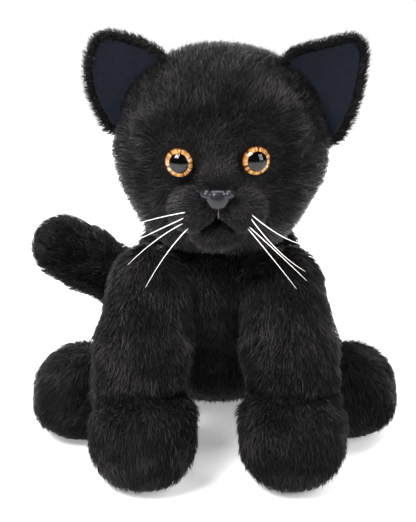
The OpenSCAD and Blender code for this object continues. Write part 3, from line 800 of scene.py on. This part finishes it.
# Each whisker's root, bend and tip, from the front of the head, on the cat's left and on its right
WHISKERS = {
    "left": [[(15, -12, -17), (37, -22, -34), (57, -7, -40)], [(16, -12, -19), (32, -22, -39), (50, -11, -53)],
             [(14, -10, -25), (36, -20, -41), (51, -10, -59)], [(15, -10, -27), (31, -20, -42), (45, -12, -63)]],
    "right": [[(14, -12, -19), (33, -22, -17), (52, -7, -28)], [(15, -12, -21), (32, -20, -25), (54, -9, -39)],
              [(16, -10, -25), (33, -20, -28), (51, -11, -49)], [(15, -10, -28), (29, -20, -37), (41, -13, -62)]]}

WHISKER_ROOT_SHIFT = (0, 5, 0.5)     # sets the roots back into the muzzle


def add_whiskers(side, material):
    front = HEAD - (-FACE_X, HEAD_W * 0.93, 0)
    curves = []
    for root, bend, tip in WHISKERS[side]:
        a, b, c = (front + np.multiply(point, (SIDES[side], 1, 1)) for point in (root, bend, tip))
        a = a + WHISKER_ROOT_SHIFT
        curves.append([a * (1 - t) ** 2 + b * 2 * t * (1 - t) + c * t * t for t in np.linspace(0, 1, 21)])
    piece = tube(f"whiskers_{side}_shown", curves, lambda t: 0.34 - 0.24 * t, 8, material)
    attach(piece, "head")
    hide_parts("whiskers_" + side)


def add_mouth():
    thread, nodes, links, shader = new_material("mouth_thread", (0.09, 0.05, 0.06), 0.6)
    add_bump(nodes, links, shader, 3000, 0.6, 0.0003)
    top, low = NOSE + (0.4, 0.5, -6.2), NOSE + (0.6, 4.0, -12.5)
    line = [top * (1 - t) + low * t + np.array([0, -2.0 * math.sin(math.pi * t), 0]) for t in np.linspace(0, 1, 12)]
    piece = tube("mouth_stitch_shown", [line], lambda t: 0.4, 10, thread)
    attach(piece, "head")
    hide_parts("mouth_stitch")


def add_face():
    iris, dome = eye_material(), dome_material()
    bristle, nodes, links, shader = new_material("whisker_bristle", (0.86, 0.84, 0.8), 0.35)
    add_bump(nodes, links, shader, 2500, 0.1, 0.0001)
    for side in SIDES:
        add_eye(side, iris, dome)
        add_whiskers(side, bristle)
    add_nose()
    add_mouth()


# ---- Ears ------------------------------------------------------------------------------------

# The outline of each ear as shares of its CAD box, across and up, from the inner root over the tip to the outer root
EAR_OUTLINE = {
    "left": [(0.12, 0.78), (0.34, 0.85), (0.63, 0.89), (0.85, 0.92), (1.0, 0.87), (1.07, 0.77), (1.07, 0.65),
             (1.01, 0.40), (0.90, 0.19), (0.73, 0.02), (0.3, 0.05), (-0.1, 0.48)],
    "right": [(-0.03, 0.78), (0.15, 0.87), (0.39, 0.93), (0.62, 0.95), (0.79, 0.89), (0.89, 0.73), (0.90, 0.55),
              (0.84, 0.37), (0.70, 0.18), (0.59, 0.11), (0.2, 0.08), (-0.2, 0.52)]}
EAR_RIM = 0.8                        # how far the skin's rim lies inside the outline, to leave room for fur
EAR_THICK = 4.6


def rounded_loop(points, count=5):
    """A closed Catmull-Rom curve through the points."""
    p = np.array(points, float)
    a, b, c, d = np.roll(p, 1, 0), p, np.roll(p, -1, 0), np.roll(p, -2, 0)
    rows = []
    for t in np.arange(count) / count:
        squared, cubed = 2 * a - 5 * b + 4 * c - d, 3 * b - a - 3 * c + d
        rows.append(0.5 * (2 * b + (c - a) * t + squared * t * t + cubed * t ** 3))
    return np.stack(rows, axis=1).reshape(-1, 2)


def loop_distance(x, z, loop):
    """The distance to a closed loop in the X-Z plane, below 0 inside it."""
    nearest = np.full(x.shape, 1e9)
    inside = np.zeros(x.shape, bool)
    for (ax, az), (bx, bz) in zip(loop, np.roll(loop, -1, axis=0)):
        wx, wz = bx - ax, bz - az
        t = np.clip(((x - ax) * wx + (z - az) * wz) / (wx * wx + wz * wz + 1e-9), 0, 1)
        nearest = np.minimum(nearest, np.hypot(x - ax - t * wx, z - az - t * wz))
        if abs(bz - az) > 1e-9:
            inside ^= ((az > z) != (bz > z)) & (x < (bx - ax) * (z - az) / (bz - az) + ax)
    return np.where(inside, -nearest, nearest)


def ear_parts(side):
    """The outline distance and the depth of the ear's cup, as functions of points."""
    k = SIDES[side]
    low, high = bottom_of("ear_back_left"), top_of("ear_back_left")
    loop = rounded_loop([(low[0] + (high[0] - low[0]) * u, low[2] + (high[2] - low[2]) * w)
                         for u, w in EAR_OUTLINE[side]])

    def edge(points):
        return loop_distance(points[..., 0] * k, points[..., 2], loop)

    def depth(points, rim):
        plane = HEAD[1] - 6 + 0.2 * (points[..., 0] * k - low[0])
        return points[..., 1] - plane - 9 * (1 - np.exp(np.minimum(rim, 0) / 11)) + 4
    return edge, depth


def ear_distance(side):
    edge, depth = ear_parts(side)

    def distance(points):
        rim = edge(points)
        return -join(-(rim + EAR_RIM), -(np.abs(depth(points, rim)) - EAR_THICK / 2), 3.0)
    return distance


def lining_distance(side):
    edge, depth = ear_parts(side)

    def distance(points):
        rim = edge(points)
        sheet = np.abs(depth(points, rim) + EAR_THICK / 2 + 0.5) - 0.9
        return -join(-(rim + EAR_RIM + 4.5), -sheet, 1.2)
    return distance


def lining_material():
    material, nodes, links, shader = new_material("ear_velour", (0.004, 0.005, 0.009), 0.85, 0.12)
    shader.inputs["Sheen Weight"].default_value = 0.06
    shader.inputs["Sheen Roughness"].default_value = 0.4
    shader.inputs["Sheen Tint"].default_value = (0.5, 0.55, 0.75, 1)
    noise = add_bump(nodes, links, shader, 1100, 0.5, 0.0005)
    shade = ramp(nodes, links, noise.outputs["Fac"], [(0.3, (0.0025, 0.003, 0.0055)), (0.7, (0.007, 0.0085, 0.016))])
    links.new(shade, shader.inputs["Base Color"])
    return material


def add_ear(side, lining_look):
    k = SIDES[side]
    edge, depth = ear_parts(side)
    distance = ear_distance(side)
    low, high = bottom_of("ear_back_left") - 22, top_of("ear_back_left") + 22
    xs = sorted((low[0] * k, high[0] * k))
    low, high = np.array([xs[0], low[1], low[2]]), np.array([xs[1], high[1], high[2]])
    middle = np.array([(bottom_of("ear_back_left")[0] + 24) * k, HEAD[1], bottom_of("ear_back_left")[2] + 30])

    def comb(roots, normals):
        out = unit((roots - middle) * (1, 0, 1))
        return out * 0.8 + np.array([0.25 * k, 0, 0.35])

    def density(roots):
        rim = edge(roots)
        under_lining = (depth(roots, rim) < -1) & (rim < -EAR_RIM - 7)
        in_head = np.linalg.norm((roots - HEAD) / (HEAD_R - 2), axis=1) < 1
        return np.where(under_lining | in_head, 0.0, 1.15)

    coat = Coat(comb, lambda r: np.full(len(r), 5.6), density, width=0.38, lift=0.55,
                tone=lambda r: -0.1 + 0.1 * (depth(r, edge(r)) > 0))
    piece = furred_part("ear_" + side, "head", distance, low, high, coat,
                        {"ear_back_" + side: lambda r: r[:, 2] > 0}, [], voxel=1.5)
    verts, quads = skin(lining_distance(side), low, high, 1.0)
    lining = skin_piece("ear_lining_" + side + "_shown", verts, quads, lining_look)
    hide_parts("ear_lining_" + side)
    lining.parent = piece
    return piece


# ---- Torso -----------------------------------------------------------------------------------

SEAT = 0.8                           # how high the skins' flat undersides lie above the floor
SEAT_PANEL_TOP = 14
TORSO_LOW = np.minimum(bottom_of("torso_belly"), bottom_of("seat_panel"))
TORSO_HIGH = np.maximum(top_of("torso_back"), top_of("torso_belly"))


def in_torso(x, y, z):
    """A point in the torso's CAD box, as shares of its sides."""
    return TORSO_LOW + (TORSO_HIGH - TORSO_LOW) * np.array([x, y, z])


def torso_distance(points):
    low_back, belly, chest = in_torso(0.5, 0.76, 0.235), in_torso(0.5, 0.545, 0.47), in_torso(0.5, 0.21, 0.8)
    m = mirror(points)
    d = ellipsoid(points, low_back, (44, 40, 35))
    d = join(d, ellipsoid(points, belly, (44, 45, 42)), 16)
    d = join(d, ellipsoid(points, chest, (40, 43, 38)), 22)
    d = join(d, cone(points, in_torso(0.5, 0.3, 0.66), in_torso(0.5, 0.42, 0.4), 32, 33), 14)
    d = join(d, ellipsoid(m, in_torso(0.78, 0.18, 0.86), (22, 29, 28.5)), 14)
    inside_head = np.linalg.norm(points - HEAD, axis=-1) - (HEAD_R[2] - 3)
    d = cut(d, inside_head, 4)
    return np.maximum(d, SEAT - points[..., 2])


def torso_comb(roots, normals):
    back = np.clip((roots[:, 1] + 40) / 60, 0, 1)[:, None]
    return np.array([0, 0.1, -1.0]) * (1 - back) + np.array([0, 0.5, -0.9]) * back + normals * [0.3, 0, 0]


def pile_length(full):
    """The pile's length, shorter underneath where the part rests on the floor."""
    def length(roots):
        return full * np.clip(0.3 + roots[:, 2] / 16, 0.3, 1)
    return length


# Painted light on the torso's fur: a painted highlight on the front of the chest; the top of the chest under the chin
# is darker, and the whole torso a little darker.
def torso_painted_light(roots):
    return spots(roots, [(in_torso(0.5, 0.0, 0.66), 17, 0.22), (in_torso(0.5, 0.05, 0.93), 18, -0.12)]) - 0.03


def add_torso():
    seam = in_torso(0.5, 0.55, 0.25)     # the side seam leans forwards as it rises
    panels = {
        "seat_panel": lambda r: r[:, 2] < SEAT_PANEL_TOP,
        "torso_belly": lambda r: r[:, 1] < seam[1] - 14 - 0.52 * (r[:, 2] - seam[2]),
        "torso_back": lambda r: r[:, 2] >= SEAT_PANEL_TOP,
    }
    coat = Coat(torso_comb, pile_length(10.5), 0.62, width=0.46, tone=torso_painted_light)
    low, high = TORSO_LOW - (8, 22, 2), TORSO_HIGH + (8, 8, 14)
    return furred_part("torso", "torso", torso_distance, low, high, coat, panels, ["torso_stuffing"])


# ---- Front legs ------------------------------------------------------------------------------

PAW = middle_of("front_paw_left")
SLEEVE = "front_leg_sleeve_left"
SHOULDER, ELBOW, WRIST = at(SLEEVE, 0.37, 0.62, 0.7), at(SLEEVE, 0.47, 0.5, 0.29), at(SLEEVE, 0.52, 0.4, 0.02)
SEAM_WAY = unit(np.array([0, -0.12, -1.0]))
LEG_ASIDE = {"left": 0, "right": 1.0}             # how much further out this front leg stands
SLEEVE_ASIDE = {"left": 0, "right": 2.2}          # and how much further its sleeve lies than its paw


def front_leg_distance(side):
    k = SIDES[side]

    def distance(points):
        p = points * np.array([k, 1, 1]) - (LEG_ASIDE[side], 0, 0)
        sleeve = p - (SLEEVE_ASIDE[side], 0, 0)
        d = cone(sleeve, SHOULDER, ELBOW, 25.5, 27.5)
        d = join(d, cone(sleeve, ELBOW, WRIST, 27.5, 26.5), 4)
        d = join(d, ellipsoid(p, PAW + (-1.5, -4.5, -0.5), (30.5, 34, 29.5)), 4)
        d = join(d, ellipsoid(p, PAW + (-2.5, -2.5, 11), (30.5, 31, 19)), 5)
        groove = (p - WRIST) @ SEAM_WAY
        d = d + 2.6 * np.exp(-(groove / 2.6) ** 2)
        d = np.maximum(d, bottom_of(SLEEVE)[0] + 0.5 - p[..., 0])
        return np.maximum(d, SEAT - points[..., 2])
    return distance


def leg_comb(roots, normals):
    """Down the leg, then forwards over the paw."""
    low = np.clip((WRIST[2] + 4 - roots[:, 2]) / 25, 0, 1)[:, None]
    return np.array([0, -0.2, -1.0]) * (1 - low) + np.array([0, -0.45, -0.9]) * low + normals * [0.25, 0.1, 0]


# Painted light on the front leg's fur: a painted highlight on the outer side below the shoulder, painted shadow just
# below the wrist seam where the sleeve's fur hangs over the paw, and the paw a little darker.
def leg_painted_light(side):
    k = SIDES[side]
    outer = SHOULDER * (k, 1, 1) + (18 * k, -14, -14)

    def tone(roots):
        seam = (roots * (k, 1, 1) - WRIST) @ SEAM_WAY
        return (spots(roots, [(outer, 26, 0.14)]) - 0.3 * np.exp(-((seam - 1.5) / 2.2) ** 2)
                - 0.05 * (seam > 4))
    return tone


def add_front_leg(side):
    k = SIDES[side]
    name = "front_leg_" + side
    x_low, x_high = sorted((bottom_of(SLEEVE)[0] * k, (top_of("front_paw_left")[0] + 6) * k))
    low = (x_low, bottom_of("front_paw_left")[1] - 4, 0)
    high = (x_high, top_of(SLEEVE)[1] + 6, top_of(SLEEVE)[2] + 8)
    panels = {"front_paw_" + side: lambda r: (r * (k, 1, 1) - WRIST) @ SEAM_WAY > 0,
              "front_leg_sleeve_" + side: lambda r: r[:, 2] > 0}
    coat = Coat(leg_comb, pile_length(9.5), 0.66, width=0.44, lift=0.46, tone=leg_painted_light(side))
    return furred_part(name, name, front_leg_distance(side), low, high, coat, panels,
                       ["front_leg_stuffing_" + side])


# ---- Hind legs -------------------------------------------------------------------------------

JOINT_PLACE = {joint["name"]: np.array(joint["pos_m"]) / MM for joint in frame["joints"]}
HIP = JOINT_PLACE["hind_leg_splay_left"]
FOOT = middle_of("hind_foot_left")
HIND_WAY = unit((FOOT - HIP) * (1, 1, 0))
HIND_ACROSS = np.array([-HIND_WAY[1], HIND_WAY[0], 0])
HIND_SHORT = {"left": 3.0, "right": -1.5}         # how much less this side's foot reaches
ANKLE = 46.0


def hind_frame(points, side):
    """Points in the leg's own frame: X from the hip to the toes, Y across, Z up from the floor."""
    p = points * np.array([SIDES[side], 1, 1]) - HIP * (1, 1, 0)
    return np.stack([p @ HIND_WAY, p @ HIND_ACROSS, p[..., 2]], axis=-1)


def hind_leg_distance(side):
    short = HIND_SHORT[side]

    def distance(points):
        q = hind_frame(points, side)
        d = ellipsoid(q, (13, 0, 28.5), (39, 29, 27.5))
        d = join(d, ellipsoid(q, (60 - short, 0, 30), (29, 29.5, 28)), 8)
        d = join(d, ellipsoid(q, (60 - short, 0, 19), (29, 29, 20)), 6)
        d = d + 2.0 * np.exp(-((q[..., 0] - ANKLE) / 2.8) ** 2)
        return np.maximum(d, SEAT - points[..., 2])
    return distance


def add_hind_leg(side):
    k = SIDES[side]
    way = HIND_WAY * (k, 1, 1)

    def comb(roots, normals):
        return way + np.array([0, 0, -0.5]) + normals * [0.2, 0.2, 0]

    low, high = sorted((bottom_of("hind_thigh_left")[0] * k - 12 * k, (top_of("hind_foot_left")[0] + 6) * k))
    panels = {"hind_foot_" + side: lambda r: hind_frame(r, side)[:, 0] > ANKLE,
              "hind_thigh_" + side: lambda r: r[:, 2] > -1}
    coat = Coat(comb, pile_length(9.5), 0.66, width=0.44, lift=0.46)
    return furred_part("hind_leg_" + side, "hind_leg_" + side, hind_leg_distance(side),
                       (low, bottom_of("hind_foot_left")[1] - 6, 0), (high, top_of("hind_thigh_left")[1] + 10, 64),
                       coat, panels, ["hind_leg_stuffing_" + side])


# ---- Tail ------------------------------------------------------------------------------------

# The tail's middle line as shares of its CAD box, and its radius
TAIL_LINE = [(0.92, 0.16, 0.15, 11), (0.83, 0.38, 0.16, 12.5), (0.70, 0.58, 0.20, 14), (0.54, 0.64, 0.30, 16),
             (0.38, 0.60, 0.45, 18), (0.25, 0.49, 0.60, 20), (0.135, 0.42, 0.72, 19.5)]
TAIL = np.array([at("tail_skin", x, y, z) for x, y, z, r in TAIL_LINE])
TAIL_R = [r for x, y, z, r in TAIL_LINE]


def tail_distance(points):
    d = None
    for a, b, ra, rb in zip(TAIL[:-1], TAIL[1:], TAIL_R[:-1], TAIL_R[1:]):
        piece = cone(points, a, b, ra, rb)
        d = piece if d is None else join(d, piece, 3)
    return d


def tail_comb(roots, normals):
    ways = unit(np.diff(TAIL, axis=0))
    middle = (TAIL[:-1] + TAIL[1:]) / 2
    nearest = np.argmin(np.linalg.norm(roots[:, None] - middle[None], axis=2), axis=1)
    return ways[nearest]


def add_tail():
    coat = Coat(tail_comb, lambda r: np.full(len(r), 10.5), 0.66, width=0.46, lift=0.5,
                tone=lambda r: np.full(len(r), -0.08))
    return furred_part("tail", "tail", tail_distance, bottom_of("tail_skin") - 8, top_of("tail_skin") + 8, coat,
                       {"tail_skin": lambda r: r[:, 2] > 0}, ["tail_stuffing"])


# ---- Neck and the CAD pieces that are shown as they are --------------------------------------


def neck_distance(points):
    low, high = bottom_of("neck_stuffing"), top_of("neck_stuffing")
    middle = (low + high) / 2
    ball = (high[0] - low[0]) / 2 - 0.5
    stub = cone(points, (middle[0], middle[1], low[2] + 10), (middle[0], middle[1], high[2] - 14), 9.0, 9.0)
    return join(stub, np.linalg.norm(points - (middle[0], middle[1], high[2] - ball), axis=-1) - ball, 3)


def add_neck():
    coat = Coat(lambda r, n: np.array([0, 0, -1.0]) + n * 0.1, lambda r: np.full(len(r), 4.0), 0.5, width=0.45)
    low, high = bottom_of("neck_stuffing") - 3, top_of("neck_stuffing") + 3
    return furred_part("neck", "neck", neck_distance, low, high, coat,
                       {"neck_stuffing": lambda r: r[:, 2] > 0}, [])


def noisy_material(name, dark, light, roughness, scale, distance):
    material, nodes, links, shader = new_material(name, light, roughness)
    noise = add_bump(nodes, links, shader, scale, 0.4, distance)
    links.new(ramp(nodes, links, noise.outputs["Fac"], [(0.35, dark), (0.65, light)]), shader.inputs["Base Color"])
    return material


def paint_cad():
    """Materials for the pieces inside the cat, and for the hand stitches on its back."""
    plastic = noisy_material("washer_plastic", (0.62, 0.62, 0.6), (0.75, 0.75, 0.72), 0.4, 900, 0.0001)
    cotton = noisy_material("pouch_cotton", (0.5, 0.47, 0.4), (0.68, 0.65, 0.57), 0.9, 1500, 0.0004)
    thread = noisy_material("seam_thread", (0.008, 0.008, 0.008), (0.03, 0.03, 0.03), 0.6, 3000, 0.0002)
    looks = {"eye_washer_left": plastic, "eye_washer_right": plastic, "nose_washer": plastic, "bean_pouch": cotton,
             "closing_seam_thread": thread}
    for node, look in looks.items():
        materials = frame["nodes"][node].data.materials
        materials.clear()
        materials.append(look)


# ---- Build -----------------------------------------------------------------------------------

add_camera()
add_stage()
add_torso()
for side in SIDES:
    add_front_leg(side)
    add_hind_leg(side)
add_tail()
add_neck()
add_head()
add_face()
velour = lining_material()
for side in SIDES:
    add_ear(side, velour)
paint_cad()
